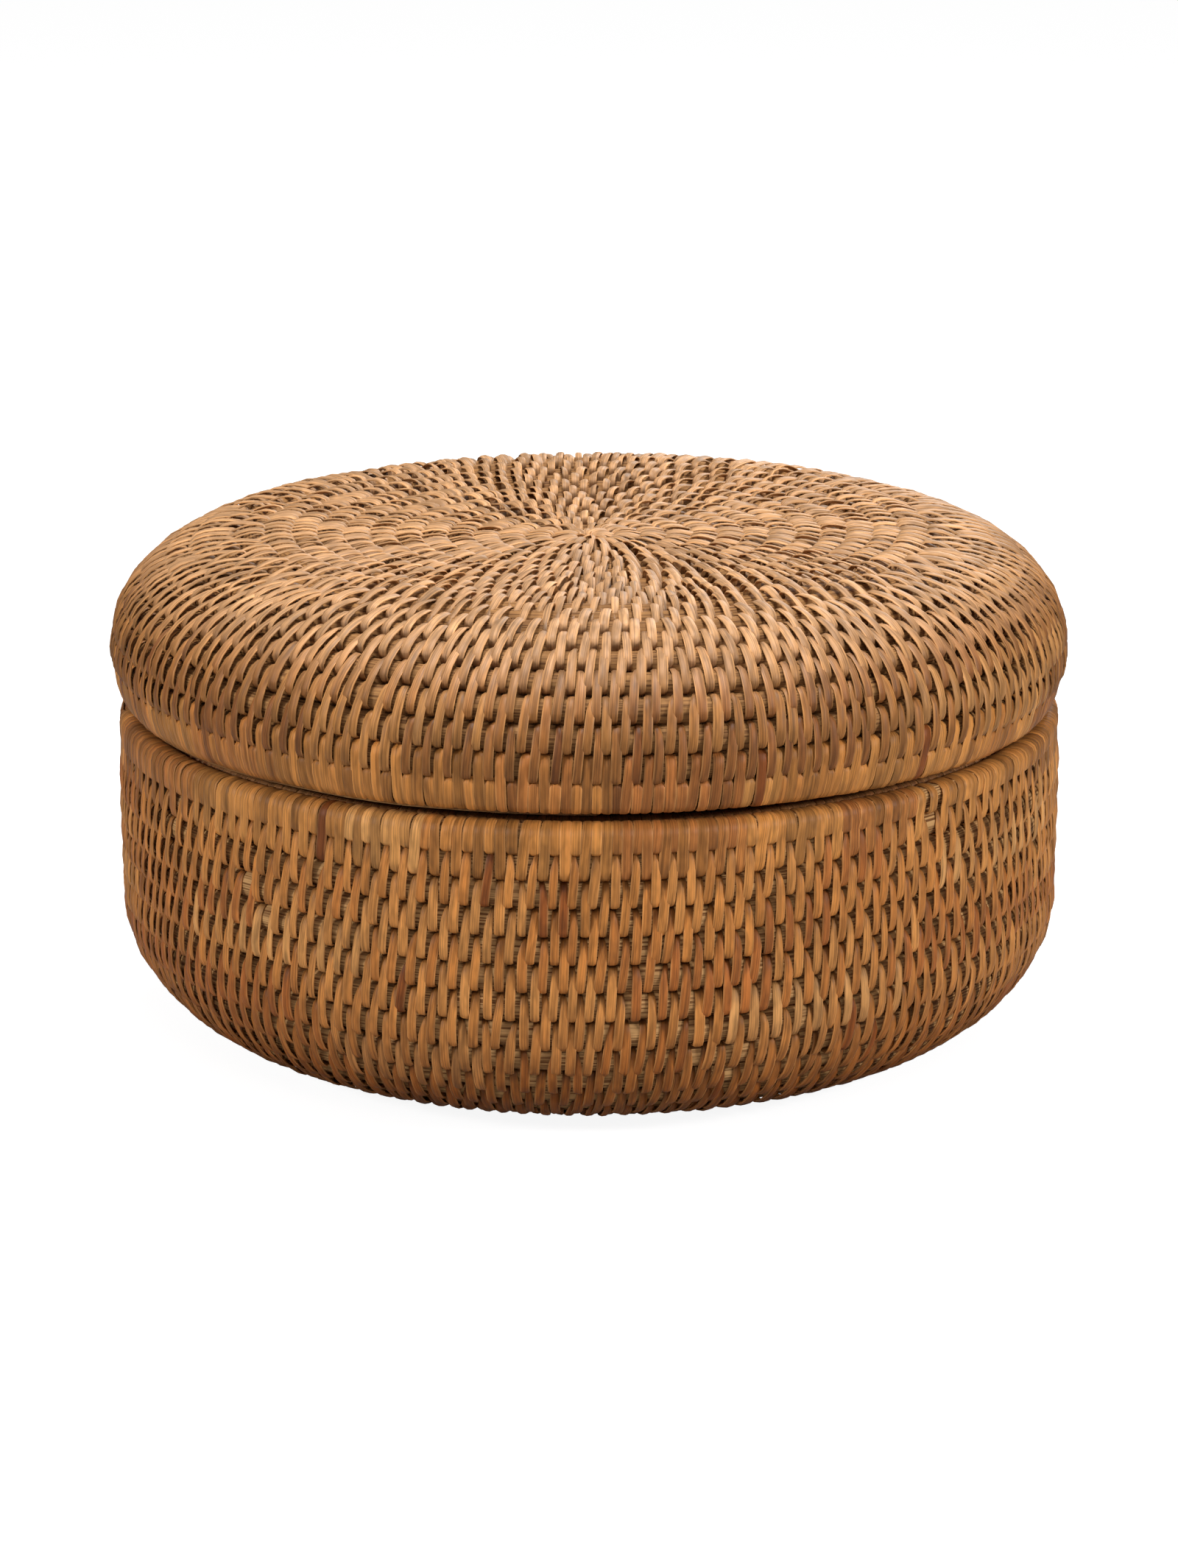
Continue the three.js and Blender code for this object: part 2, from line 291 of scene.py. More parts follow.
# One strip on each point, bent onto the wall. A strip lies flat: x across it,
# y along the wall and z out from the wall's middle.
def stripTree(onWall):
    tree, given, result = newTree(
        "stripsOnWall",
        {"Points": "Geometry", "Wall": "Object", "Side": "Float", "Strips": "Collection",
         "Material": "Material", "Width Spread": "Float", "Lean": "Float", "Lean Spread": "Float",
         "Roll Spread": "Float", "Lift Spread": "Float", "Unevenness": "Float", "Seed": "Int",
         "Map Columns": "Float"},
        {"Strips": "Geometry"})
    narrow = addMath(tree, "SUBTRACT", 1, given["Width Spread"])
    wide = addMath(tree, "ADD", 1, given["Width Spread"])
    leastLean = addMath(tree, "SUBTRACT", given["Lean"], given["Lean Spread"])
    mostLean = addMath(tree, "ADD", given["Lean"], given["Lean Spread"])
    lowLift = addMath(tree, "MULTIPLY", given["Lift Spread"], -1)
    leastRoll = addMath(tree, "MULTIPLY", given["Roll Spread"], -1)
    ranges = {"shade": (0, 1), "size": (narrow, wide), "lean": (leastLean, mostLean),
              "lift": (lowLift, given["Lift Spread"]), "roll": (leastRoll, given["Roll Spread"])}
    points = given["Points"]
    for number, (label, (low, high)) in enumerate(ranges.items()):
        seed = addMath(tree, "ADD", given["Seed"], number)
        value = addNode(tree, "FunctionNodeRandomValue", {2: low, 3: high, "Seed": seed}, data_type="FLOAT")
        points = addNode(tree, "GeometryNodeStoreNamedAttribute",
                         {"Geometry": points, "Name": label, "Value": value.outputs[1]}, data_type="FLOAT")
    index = addNode(tree, "GeometryNodeInputIndex")
    points = addNode(tree, "GeometryNodeStoreNamedAttribute",
                     {"Geometry": points, "Name": "cell", "Value": index}, data_type="FLOAT")
    own = {}  # what each strip carries from its point
    for label in ("kind", "angle", "along", "up", "down", "wide", "face", "tone", "cell", *ranges):
        carried = addNode(tree, "GeometryNodeInputNamedAttribute", {"Name": label}, data_type="FLOAT")
        own[label] = carried.outputs[0]
    strips = addNode(tree, "GeometryNodeCollectionInfo",
                     {"Collection": given["Strips"], "Separate Children": True})
    copies = addNode(tree, "GeometryNodeInstanceOnPoints",
                     {"Points": points, "Instance": strips, "Pick Instance": True,
                      "Instance Index": own["kind"]})
    strips = addNode(tree, "GeometryNodeRealizeInstances", {"Geometry": copies})

    position = addNode(tree, "GeometryNodeInputPosition")
    flat = addNode(tree, "ShaderNodeSeparateXYZ", {0: position}).outputs
    above = addMath(tree, "MAXIMUM", flat["Y"], 0)
    below = addMath(tree, "MINIMUM", flat["Y"], 0)
    length = addMath(tree, "MULTIPLY_ADD", above, own["up"], own["along"])
    length = addMath(tree, "MULTIPLY_ADD", below, own["down"], length)
    width = addMath(tree, "MULTIPLY", own["size"], own["wide"])
    across = addMath(tree, "MULTIPLY", flat["X"], width)
    across = addMath(tree, "MULTIPLY_ADD", flat["Y"], own["lean"], across)
    across = addMath(tree, "MULTIPLY", across, own["face"])
    rolled = addMath(tree, "MULTIPLY_ADD", flat["X"], own["roll"], flat["Z"])
    depth = addMath(tree, "ADD", rolled, own["lift"])
    depth = addMath(tree, "MULTIPLY", depth, own["face"])
    offset =addNode(tree, "ShaderNodeCombineXYZ", {0: own["shade"], 1: own["tone"], 2: own["shade"]})
    grain = addNode(tree, "ShaderNodeVectorMath", {0: offset, 1: position}, operation="ADD")
    strips = addNode(tree, "GeometryNodeStoreNamedAttribute",
                     {"Geometry": strips, "Name": "grain", "Value": grain}, data_type="FLOAT_VECTOR")

    # Each strip's own place on the piece's map, cell after cell
    column = addMath(tree, "MODULO", own["cell"], given["Map Columns"])
    line = addMath(tree, "DIVIDE", own["cell"], given["Map Columns"])
    line = addMath(tree, "FLOOR", line)
    corner = addNode(tree, "ShaderNodeCombineXYZ", {0: column, 1: line})
    inCell = addNode(tree, "GeometryNodeInputNamedAttribute", {"Name": "OFBake"}, data_type="FLOAT_VECTOR")
    moved = addNode(tree, "ShaderNodeVectorMath", {0: inCell, 1: corner}, operation="ADD")
    shrink = addMath(tree, "DIVIDE", 1, given["Map Columns"])
    cell = addNode(tree, "ShaderNodeVectorMath", {0: moved, "Scale": shrink}, operation="SCALE")
    strips = addNode(tree, "GeometryNodeStoreNamedAttribute",
                     {"Geometry": strips, "Name": "OFBake", "Value": cell},
                     data_type="FLOAT2", domain="CORNER")

    places = {"Angle": own["angle"], "Length": length, "Depth": depth, "Across": across}
    layOnWall(tree, onWall, given, strips, places, result["Strips"])
    return tree


# A run of bare cane: a straight tube whose x is the angle wound, bent onto the coil
def caneTree(onWall):
    tree, given, result = newTree(
        "caneOnWall",
        {"Run": "Geometry", "Wall": "Object", "Side": "Float", "Section": "Object", "Material": "Material",
         "Start Angle": "Float", "Start Length": "Float", "Row Pitch": "Float", "Edge": "Float",
         "Unevenness": "Float"},
        {"Cane": "Geometry"})
    section = addNode(tree, "GeometryNodeObjectInfo", {"Object": given["Section"]})
    outline = addNode(tree, "GeometryNodeMeshToCurve", {"Mesh": section.outputs["Geometry"]})
    run = addNode(tree, "GeometryNodeMeshToCurve", {"Mesh": given["Run"]})
    tube = addNode(tree, "GeometryNodeCurveToMesh",
                   {"Curve": run, "Profile Curve": outline, "Fill Caps": True})
    position = addNode(tree, "GeometryNodeInputPosition")
    flat = addNode(tree, "ShaderNodeSeparateXYZ", {0: position}).outputs
    angle = addMath(tree, "ADD", flat["X"], given["Start Angle"])
    perTurn = addMath(tree, "DIVIDE", given["Row Pitch"], turn)
    length = addMath(tree, "MULTIPLY_ADD", flat["X"], perTurn, given["Start Length"])
    length = addMath(tree, "ADD", length, flat["Y"])
    length = addMath(tree, "MINIMUM", length, given["Edge"])
    # x is in radians here, of about a tenth of a metre each
    grain = addNode(tree, "ShaderNodeVectorMath", {0: position, 1: (0.1, 1, 1)}, operation="MULTIPLY")
    cane = addNode(tree, "GeometryNodeStoreNamedAttribute",
                   {"Geometry": tube, "Name": "grain", "Value": grain}, data_type="FLOAT_VECTOR")
    places = {"Angle": angle, "Length": length, "Depth": flat["Z"]}
    layOnWall(tree, onWall, given, cane, places, result["Cane"])
    return tree


onWall = wallTree()
stripsOnWall = stripTree(onWall)
caneOnWall = caneTree(onWall)


# Runs a tree on a source object and keeps the result as a plain mesh that rides on a body
def makePiece(name, source, tree, values, body, node):
    modifier = source.modifiers.new(name, "NODES")
    modifier.node_group = tree
    for item in tree.interface.items_tree:
        if item.in_out == "INPUT" and item.name in values:
            modifier[item.identifier] = values[item.name]
    depsgraph = bpy.context.evaluated_depsgraph_get()
    mesh = bpy.data.meshes.new_from_object(
        source.evaluated_get(depsgraph), preserve_all_data_layers=True, depsgraph=depsgraph)
    source.modifiers.remove(modifier)
    bpy.data.objects.remove(source)
    piece = addObject(name, mesh)
    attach(piece, body)
    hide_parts(node)


print("trees built")


# Materials

def linear(code):
    parts = [int(code[i:i + 2], 16) / 255 for i in (1, 3, 5)]
    return (*[p / 12.92 if p <= 0.04045 else ((p + 0.055) / 1.055) ** 2.4 for p in parts], 1)


def newMaterial(name):
    material = bpy.data.materials.new(name)
    material.use_nodes = True
    tree = material.node_tree
    tree.nodes.clear()
    return material, tree


plainLook = {
    "paintedTopSheen": 0,  # share of the paler colour on the lid's top, painted light and sheen
    "deep": 0,  # and of the darker brown at the basket's foot, painted shade
    "paintedRecessShade": 0,  # how much painted shade darkens a strip where it dives between the rows
    "spread": 0.16,  # how much lighter or darker single strips are
}
# Browns of the strands, from the scorched to the pale, with their places on the ramp
bodyLook = {
    **plainLook,
    "strands": ((0, "#86491E"), (0.12, "#A8622C"), (0.5, "#BE7A3A"), (0.85, "#CA8A4A"), (1, "#D49A5C")),
    # painted shade at its foot
    "deep": 0.85,
    "paintedRecessShade": 0.75,
}
lidLook = {
    **plainLook,
    "strands": ((0, "#784620"), (0.12, "#865228"), (0.5, "#935E2E"), (0.85, "#A06C38"), (1, "#AE7A46")),
    # painted light and sheen on its top
    "paintedTopSheen": 0.85,
    "paintedRecessShade": 0.4,
}
wrapLook = {
    **plainLook,
    "strands": ((0, "#7E441C"), (0.12, "#A06230"), (0.5, "#B47639"), (0.85, "#C28444"), (1, "#CC9254")),
    "spread": 0.34,
}
hoopLook = {
    **plainLook,
    "strands": ((0, "#7C4A28"), (0.5, "#935F36"), (1, "#A9774A")),
}
stripFinish = {
    # painted light and sheen on the lid's top
    "paintedTopSheenBrown": "#BA8F66",
    "paintedTopSheenHeights": (134 * mm, 158 * mm),
    # painted shade at the basket's foot
    "paintedFootShadeBrown": "#924C14",
    "paintedFootShadeHeights": (5 * mm, 60 * mm),
    "paintedRecessShadeDepths": (0.3, 0.95),  # shares of half the wall, from the darkest painted shade to the plain
    # paler cut edges: partly the fibre's own paler colour, partly a painted highlight along them
    "cutEdgeAndHighlight": "#D0985C",
    "edgeShare": 0.4,
    "edgeBand": (0.3, 0.9),  # of the way down from a strip's crown to its edge
    "grainWidth": 0.32 * mm,  # finer on the real strips, coarse enough here to show
    "grainLength": 40 * mm,
    "grainLevels": (0.68, 1.14),
    "grainHeight": 0.12 * mm,
    "grainRelief": 0.4,
    "mottleSize": 6 * mm,
    "mottleStretch": 4,  # a patch's length over its width
    "mottleLevels": (0.8, 1.14),
    "noiseBand": (0.35, 0.6),  # stretch of the noise that turns into grain and mottle
    "roughness": 0.5,
    "gloss": 0.25,
}


# Split rattan, shaved from the cane: satin, with a fine grain along each strip,
# cut edges that are paler than its face, partly a painted highlight, and each strand
# of its own brown; painted shade darkens it where a strip dives between the rows and
# at the basket's foot, and painted light and sheen pale the lid's top
def splitRattan(name, look):
    material, tree = newMaterial(name)
    tone = addNode(tree, "ShaderNodeAttribute", attribute_name="tone")
    shade = addNode(tree, "ShaderNodeAttribute", attribute_name="shade")
    grain = addNode(tree, "ShaderNodeAttribute", attribute_name="grain")
    edge = addNode(tree, "ShaderNodeAttribute", attribute_name="edge")
    ramp = addNode(tree, "ShaderNodeValToRGB", {0: tone.outputs["Fac"]})
    while len(ramp.color_ramp.elements) < len(look["strands"]):
        ramp.color_ramp.elements.new(0.5)
    for element, (place, code) in zip(ramp.color_ramp.elements, look["strands"]):
        element.position = place
        element.color = linear(code)

    # Painted light and sheen pale the lid's top, and painted shade darkens the basket's foot
    place = addNode(tree, "ShaderNodeTexCoord").outputs["Object"]
    height = addNode(tree, "ShaderNodeSeparateXYZ", {0: place}).outputs["Z"]
    low, high = stripFinish["paintedTopSheenHeights"]
    top = addNode(tree, "ShaderNodeMapRange", {"Value": height, 1: low, 2: high, 3: 0, 4: look["paintedTopSheen"]},
                  interpolation_type="SMOOTHSTEP")
    # Painted shade: darker towards the basket's foot
    low, high = stripFinish["paintedFootShadeHeights"]
    foot = addNode(tree, "ShaderNodeMapRange", {"Value": height, 1: low, 2: high, 3: look["deep"], 4: 0},
                   interpolation_type="SMOOTHSTEP")
    deep = addNode(tree, "ShaderNodeMix",
                   {0: foot, 6: ramp, 7: linear(stripFinish["paintedFootShadeBrown"])}, data_type="RGBA")
    paintedTopSheen = addNode(tree, "ShaderNodeMix",
                    {0: top, 6: deep.outputs[2], 7: linear(stripFinish["paintedTopSheenBrown"])}, data_type="RGBA")
    # Paler towards each strip's edges: the cut fibre's own paler colour and a painted highlight
    low, high = stripFinish["edgeBand"]
    pale = addNode(tree, "ShaderNodeMapRange",
                   {"Value": edge.outputs["Fac"], 1: low, 2: high, 3: 0, 4: stripFinish["edgeShare"]})
    edged = addNode(tree, "ShaderNodeMix",
                    {0: pale, 6: paintedTopSheen.outputs[2], 7: linear(stripFinish["cutEdgeAndHighlight"])}, data_type="RGBA")

    across, along, mottle = (1 / stripFinish[size] for size in ("grainWidth", "grainLength", "mottleSize"))
    patterns = (((across, along, along), stripFinish["grainLevels"]),
                ((mottle * stripFinish["mottleStretch"], mottle, mottle), stripFinish["mottleLevels"]))
    faint, strong = stripFinish["noiseBand"]
    levels = []
    for stretch, (low, high) in patterns:
        place = addNode(tree, "ShaderNodeVectorMath", {0: grain.outputs["Vector"], 1: stretch},
                        operation="MULTIPLY")
        noise = addNode(tree, "ShaderNodeTexNoise", {"Vector": place, "Scale": 1, "Detail": 1})
        levels.append(addNode(tree, "ShaderNodeMapRange",
                              {"Value": noise, 1: faint, 2: strong, 3: low, 4: high}))
    each = addNode(tree, "ShaderNodeMapRange",
                   {"Value": shade.outputs["Fac"], 3: 1 - look["spread"], 4: 1 + look["spread"]})
    # The grain's third part is the strip's shade plus its place out from the wall's middle
    third = addNode(tree, "ShaderNodeSeparateXYZ", {0: grain.outputs["Vector"]}).outputs["Z"]
    out = addMath(tree, "SUBTRACT", third, shade.outputs["Fac"])
    # Painted shade: darker where a strip lies low, diving between the rows
    low, high = (share * halfWall for share in stripFinish["paintedRecessShadeDepths"])
    paintedRecessShade = addNode(tree, "ShaderNodeMapRange",
                     {"Value": out, 1: low, 2: high, 3: 1 - look["paintedRecessShade"], 4: 1})
    level = addMath(tree, "MULTIPLY", levels[0], levels[1])
    level = addMath(tree, "MULTIPLY", level, each)
    level = addMath(tree, "MULTIPLY", level, paintedRecessShade)
    colour = addNode(tree, "ShaderNodeVectorMath", {0: edged.outputs[2], "Scale": level}, operation="SCALE")
    bump = addNode(tree, "ShaderNodeBump",
                   {"Height": levels[0], "Strength": stripFinish["grainRelief"],
                    "Distance": stripFinish["grainHeight"]})
    shader = addNode(tree, "ShaderNodeBsdfPrincipled",
                     {"Base Color": colour, "Roughness": stripFinish["roughness"], "Normal": bump,
                      "Specular IOR Level": stripFinish["gloss"]})
    addNode(tree, "ShaderNodeOutputMaterial", {"Surface": shader})
    return material


caneLook = {
    # The lid's cane is a darker copy, painted shade for its shadowed gaps, and the body's a paler one,
    # painted light that lifts the shade between its strips
    "body": ("#D0A068", "#744A26"),  # the cane and its fine dark lines
    "lid": ("#A67848", "#6A4525"),
    "lineSpacing": 0.55 * mm,  # eight or ten fine lines show on a row
    "lineStretch": 40,  # a line's length over that spacing
    "lineHeight": 0.25 * mm,
    "lineRelief": 0.6,
    "lineBand": (0.36, 0.58),  # stretch of the noise from a line to the cane's own colour
    "roughness": 0.72,
    "gloss": 0.2,
}


# Bare cane under the strips: paler, matt, with fine dark pores running along it
def rattanCore(name, colours):
    material, tree = newMaterial(name)
    core, line = colours
    grain = addNode(tree, "ShaderNodeAttribute", attribute_name="grain")
    across = 1 / caneLook["lineSpacing"]
    along = 1 / (caneLook["lineStretch"] * caneLook["lineSpacing"])
    stretched = addNode(tree, "ShaderNodeVectorMath",
                        {0: grain.outputs["Vector"], 1: (along, across, across)}, operation="MULTIPLY")
    lines = addNode(tree, "ShaderNodeTexNoise", {"Vector": stretched, "Scale": 1, "Detail": 2})
    low, high = caneLook["lineBand"]
    level = addNode(tree, "ShaderNodeMapRange", {"Value": lines, 1: low, 2: high})
    mixed = addNode(tree, "ShaderNodeMix", {0: level, 6: linear(line), 7: linear(core)}, data_type="RGBA")
    bump = addNode(tree, "ShaderNodeBump",
                   {"Height": lines, "Strength": caneLook["lineRelief"], "Distance": caneLook["lineHeight"]})
    shader = addNode(tree, "ShaderNodeBsdfPrincipled",
                     {"Base Color": mixed.outputs[2], "Roughness": caneLook["roughness"], "Normal": bump,
                      "Specular IOR Level": caneLook["gloss"]})
    addNode(tree, "ShaderNodeOutputMaterial", {"Surface": shader})
    return material


bodyMaterial = splitRattan("splitRattan", bodyLook)
lidMaterial = splitRattan("splitRattanLid", lidLook)
wrapMaterial = splitRattan("splitRattanWrapping", wrapLook)
hoopMaterial = splitRattan("splitRattanInside", hoopLook)
coreMaterials = {
    "basket": rattanCore("rattanCore", caneLook["body"]),
    "lid": rattanCore("rattanCoreShadedLid", caneLook["lid"]),
}
print("materials made")


# Strips, each kind modelled once, flat: x across, y along the wall, z out from its middle

stripShape = {
    "width": 2.8 * mm,
    "thickness": 0.75 * mm,
    "section": (  # thin edges and a crowned face
        (-1, -0.7), (-1, 0), (-0.5, 0.9), (0.5, 0.9), (1, 0), (1, -0.7)),
    "creases": (0, 1, 4, 5),  # points of the section where its sides meet at a sharp edge
    "mapPlaces": (0.02, 0.1, 0.22, 0.7, 0.82, 0.9, 0.97),  # round the section, its face widest
    "mapEnds": (0.05, 0.95),
    "mapEndSize": 0.4,  # half of each end's own patch beyond those
}
# Points along a path: shares of a row's pitch, of half the wall and of the width, and
# degrees of twist. A stitch crosses two rows: its square end dives under the row before,
# and its narrow end comes out beside the next row.
stitchPaths = {
    "wallStitch": (
        (-1.465, 0.2, 0.98, 0), (-1.445, 0.55, 1, 0), (-1.37, 0.86, 1, 0), (-1.18, 1, 1, 0),
        (-0.85, 1.05, 1, 0), (-0.45, 1, 1, 0), (-0.1, 0.9, 1, 0), (0.15, 0.82, 1, 0), (0.36, 0.63, 1, 0),
        (0.5, 0.25, 1, 0)),
    "topStitch": (  # its head stands clear of the row, and its tail lies low
        (-1.5, 0.35, 0.8, 5), (-1.45, 0.8, 0.84, 5), (-1.31, 1.03, 0.86, 5), (-1.08, 1.1, 0.86, 5),
        (-0.84, 1.08, 0.85, 5), (-0.56, 0.98, 0.82, 4), (-0.26, 0.82, 0.76, 2), (0.04, 0.68, 0.72, 0),
        (0.3, 0.48, 0.76, 0), (0.5, 0.15, 0.8, 0)),
}
stitchVariants = (  # width of the narrow end, how far it hooks aside as a share of the width, and twist
    (0.92, 0.05, 1), (0.75, -0.2, -2), (0.6, -0.4, 2), (0.48, 0.25, -1))
narrowFrom = -0.15  # where along its path a stitch starts to narrow
overEdge = (  # how every wrap goes up to the wall's edge, where its other half comes back
    (0.05, 0.88, 1, 0), (0.3, 0.93, 1, 0), (0.62, 0.93, 1, 0), (0.83, 0.8, 0.98, 0), (0.96, 0.5, 0.95, 0),
    (1, 0.18, 0.93, 0))
wrapPaths = {
    "wrapLong": (
        (-0.99, 0.2, 0.9, 0), (-0.96, 0.55, 0.95, 0), (-0.86, 0.8, 1, 0), (-0.6, 0.92, 1, 0),
        (-0.25, 0.9, 1, 0), *overEdge),
    "wrapShort": ((-0.1, 0.25, 0.85, 0), (-0.06, 0.65, 0.93, 0), *overEdge),
}


def varied(path, narrow, hook, twist):
    end = path[-1][0]
    made = []
    for y, z, w, turned in path:
        share = max(0, (y - narrowFrom) / (end - narrowFrom))
        made.append((y, z, w - share * (1 - narrow), turned * twist, hook * share ** 2))
    return made


# The lid's wall is sewn from its edge inwards, so its stitches lie the other way round
def turnedRound(path):
    return [(-1 - y, z, w, turned, -hook) for y, z, w, turned, hook in reversed(path)]


def bothSides(path):
    return [(*point, 0) for point in (*path, *[(y, -z, w, turned) for y, z, w, turned in reversed(path)])]


def makeStrip(name, path, collection, closed=False):
    width = stripShape["width"]
    path = np.array(path) * (bodyShape["rowPitch"], halfWall, width / 2, turn / 360, width)
    points = path[:, :2]
    count, sides = len(points), len(stripShape["section"])
    ahead = np.roll(points, -1, axis=0) if closed else np.vstack((points[1:], points[-1:]))
    behind = np.roll(points, 1, axis=0) if closed else np.vstack((points[:1], points[:-1]))
    along = (ahead - behind) / np.linalg.norm(ahead - behind, axis=1, keepdims=True)
    halfThick = stripShape["thickness"] / 2
    vertices = []
    for (y, z, half, twist, hook), (dy, dz) in zip(path, along):
        for across, out in stripShape["section"]:
            aside = across * half * math.cos(twist) - out * halfThick * math.sin(twist)
            off = across * half * math.sin(twist) + out * halfThick * math.cos(twist)
            vertices.append((hook + aside, y - dz * off, z + dy * off))
    faces, places = [], []
    low, high = stripShape["mapEnds"]
    rings = count if closed else count - 1
    for i in range(rings):
        v, nextV = low + (high - low) * i / rings, low + (high - low) * (i + 1) / rings
        for j in range(sides):
            near, far, after = i * sides, (i + 1) % count * sides, (j + 1) % sides
            u, nextU = stripShape["mapPlaces"][j], stripShape["mapPlaces"][j + 1]
            faces.append((near + j, near + after, far + after, far + j))
            places += [(u, v), (nextU, v), (nextU, nextV), (u, nextV)]
    if not closed:
        size = stripShape["mapEndSize"]
        for first, foot in ((0, 0), ((count - 1) * sides, high)):
            ring = list(range(sides)) if first else list(range(sides))[::-1]
            faces.append([first + j for j in ring])
            for j in ring:
                across, out = stripShape["section"][j]
                places.append((0.5 + size * across, foot + low * (0.5 + size * out)))
    mesh = bpy.data.meshes.new(name)
    mesh.from_pydata(vertices, [], faces)
    mesh.uv_layers.new(name="OFBake").data.foreach_set("uv", np.ravel(places))
    creased = np.isin(np.arange(count * sides) % sides, stripShape["creases"])
    ends = np.array([edge.vertices[:] for edge in mesh.edges])
    lengthways = ends[:, 0] % sides == ends[:, 1] % sides
    sharp = lengthways & creased[ends[:, 0]]
    mesh.attributes.new("sharp_edge", "BOOLEAN", "EDGE").data.foreach_set("value", sharp)
    edge = [float(abs(across) == 1) for across, out in stripShape["section"]] * count
    mesh.attributes.new("edge", "FLOAT", "POINT").data.foreach_set("value", edge)
    return addObject(name, mesh, collection)


hoopShape = {
    "width": 7 * mm,
    "fitGap": 0.3 * mm,  # from the lower hoop to the wall
    "lidPlay": 1.5 * mm,  # from the upper hoop to the inside of the lid
    "wrapPitch": 3.05 * mm,
    "wrapWidth": 1.05,  # of a strip's width, so that the wraps nearly touch
    "corners": 3.2,  # the power of its section, which is boxier than round
    "pathSteps": 14,
}
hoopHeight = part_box("collar_hoop_lower")[1].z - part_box("collar_hoop_lower")[0].z


def superellipse(halfHigh, halfDeep, power, count):
    around = turn * (np.arange(count) + 0.5) / count
    high = np.sign(np.cos(around)) * np.abs(np.cos(around)) ** (2 / power) * halfHigh
    deep = np.sign(np.sin(around)) * np.abs(np.sin(around)) ** (2 / power) * halfDeep
    return np.column_stack((high, deep))


def makeStripKinds():
    kinds = bpy.data.collections.new("strips")
    for number, variant in enumerate(stitchVariants):
        wall = varied(stitchPaths["wallStitch"], *variant)
        makeStrip(f"bodyStitch{number}", wall, kinds)
        makeStrip(f"lidStitch{number}", turnedRound(wall), kinds)
        makeStrip(f"topStitch{number}", varied(stitchPaths["topStitch"], *variant), kinds)
    for name, path in wrapPaths.items():
        makeStrip(name, bothSides(path), kinds)
    ring = superellipse((hoopHeight / 2 - halfStrip) / bodyShape["rowPitch"],
                        (hoopShape["width"] / 2 - halfStrip) / halfWall,
                        hoopShape["corners"], hoopShape["pathSteps"])
    path = [(y, z, hoopShape["wrapWidth"], 0, 0) for y, z in ring[::-1]]
    makeStrip("hoopWrap", path, kinds, closed=True)
    return kinds, {name: i for i, name in enumerate(sorted(kinds.objects.keys()))}


stripKinds, kindNumber = makeStripKinds()


# Places along a coil, as angles wound, of strips about a pitch apart. Each lies
# between two strips of the turn before, and one is added or left out where the
# rows have grown or shrunk enough; then all are eased until they are evenly spread.
sewing = {
    "pitch": 5.92 * mm,  # along the wall's middle line
    "drift": 0.12 * mm,  # each strip stands this far on from the middle of the gap before it
    "slack": 0.8,  # strips that a coil falls behind before one is added
    "easing": 60,  # rounds
    "evenness": 0.3,  # share of the pull that goes to even spacing
    "jitter": 0.125 * mm,
    "strand": (4, 14),  # stitches that one split strand makes
    "strandSpread": 0.23,
    "stitchSpread": 0.07,
    "darkestTone": 0.12,  # but for the scorched ones, whose tone is 0
    "scorched": 0.015,  # share of stitches that are much darker
    "seed": 7,
}


def sewnPlaces(coil):
    pitch = sewing["pitch"]
    places = [0.0]
    while places[-1] < turn:
        places.append(places[-1] + pitch / float(radiusAt(coil, places[-1])))
    firstTurn = len(places)
    angles = np.linspace(0, coil["total"] + turn, coilShape["stepsPerTurn"] * coilShape["outlineSteps"])
    wanted = np.cumsum(radiusAt(coil, angles)) * angles[1] / pitch
    wanted += firstTurn - np.interp(turn, angles, wanted)
    before, shares, i = [], [], 0
    while places[-1] < coil["total"]:
        low, high = places[i] + turn, places[i + 1] + turn
        owed = float(np.interp(high, angles, wanted)) - len(places) - 1
        count = 1 + (owed > sewing["slack"]) - (owed < -sewing["slack"])
        for k in range(count):
            shares.append((k + 0.5) / count)
            before.append(i)
            places.append(low + (high - low) * shares[-1])
        i += 1
    places, before, shares = np.array(places), np.array(before), np.array(shares)
    drift = sewing["drift"] / radiusAt(coil, places[firstTurn:])
    for _ in range(sewing["easing"]):
        between = places[before] * (1 - shares) + places[before + 1] * shares + turn + drift
        even = (places[firstTurn - 1:-1] + np.append(places[firstTurn + 1:], 2 * places[-1] - places[-2])) / 2
        places[firstTurn:] = between * (1 - sewing["evenness"]) + even * sewing["evenness"]
    return places[places <= coil["total"]]


# A tone for each stitch, the same along each strand but for a little
def strandTones(count, random):
    tones = []
    while len(tones) < count:
        tones += [random.normal(0.5, sewing["strandSpread"])] * int(random.integers(*sewing["strand"]))
    tones = np.array(tones[:count]) + random.normal(0, sewing["stitchSpread"], count)
    tones = np.clip(tones, sewing["darkestTone"], 1)
    tones[random.random(count) < sewing["scorched"]] = 0
    return tones


# Splices between a coil's canes, all of one length, as angles wound
def splices(coil, count):
    last = coil["total"] - turn
    steps = np.arange(0, round(last / stepAngle) + 1) * stepAngle
    lengths = np.cumsum(radiusAt(coil, steps) * stepAngle)
    lengths -= lengths[0]
    inner = [steps[np.searchsorted(lengths, lengths[-1] * i / count)] for i in range(1, count)]
    return [0, *inner, last]


caneShape = {
    "heightShare": 0.512,  # half its height, as a share of a row's pitch; the flats of its section just clear
    "halfDepth": 3.5 * mm,
    "topHalfDepth": 2.8 * mm,  # thinner in the lid's top, where the stitches stand clear of it
    "power": 1.75,  # below 2, leaner than an ellipse, which opens the grooves between rows
    "sides": 12,
    "stepsPerTurn": 96,
    "spliceGap": 0.3 * mm,
    "tailHeight": 1.3 * mm,
}


